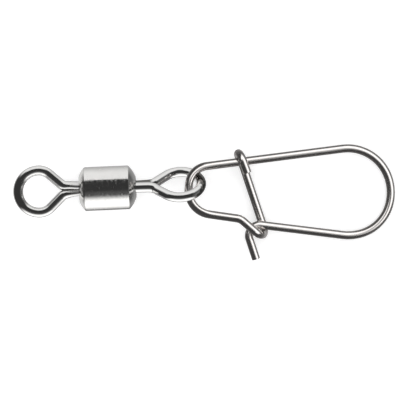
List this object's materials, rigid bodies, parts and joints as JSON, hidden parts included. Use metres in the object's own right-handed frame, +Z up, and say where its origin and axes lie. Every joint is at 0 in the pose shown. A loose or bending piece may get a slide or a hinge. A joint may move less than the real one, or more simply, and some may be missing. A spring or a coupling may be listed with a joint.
{
  "type": "fishing snap swivel",
  "caption": "Rolling barrel swivel with a wire ring at each end and a bent-wire snap linked through one ring; its gate leg springs inward to open.",
  "frame": {"origin": "middle of the part's box, on the surface it lies on", "axes": "+X along the swivel's axis from the line eye to the snap's big end, +Z up from the surface, +Y to the snap's upper leg"},
  "size_m": [0.0476, 0.014, 0.0055],
  "materials": {
    "barrel_nickel": "bright nickel plate",
    "line_eye_nickel": "bright nickel plate",
    "snap_eye_nickel": "bright nickel plate",
    "snap_frame_nickel": "bright nickel plate on spring wire",
    "snap_gate_nickel": "bright nickel plate on spring wire"
  },
  "bodies": {
    "barrel": {"barrel": "barrel_nickel"},
    "line_eye": {"line_eye": "line_eye_nickel"},
    "snap_eye": {"snap_eye": "snap_eye_nickel"},
    "snap_frame": {"snap_frame": "snap_frame_nickel"},
    "snap_gate": {"snap_gate": "snap_gate_nickel"}
  },
  "joints": [
    {"name": "line_eye_spin", "type": "hinge", "parent": "barrel", "child": "line_eye", "pos_m": [-0.02058, 0.00273, 0.00273], "axis": [1, 0, 0], "continuous": true},
    {"name": "snap_eye_spin", "type": "hinge", "parent": "barrel", "child": "snap_eye", "pos_m": [-0.00289, 0.00273, 0.00273], "axis": [1, 0, 0], "continuous": true},
    {"name": "snap_link", "type": "hinge", "parent": "snap_eye", "child": "snap_frame", "pos_m": [0.00009, 0.00273, 0.00273], "axis": [0.0749, -0.0402, 0.9964], "range_deg": [-90, 115]},
    {"name": "gate_flex", "type": "hinge", "parent": "snap_frame", "child": "snap_gate", "pos_m": [0.02333, 0.00044, 0.00054], "axis": [-0.0749, 0.0402, -0.9964], "range_deg": [0, 20], "stiffness_Nm_per_rad": 0.35}
  ]
}
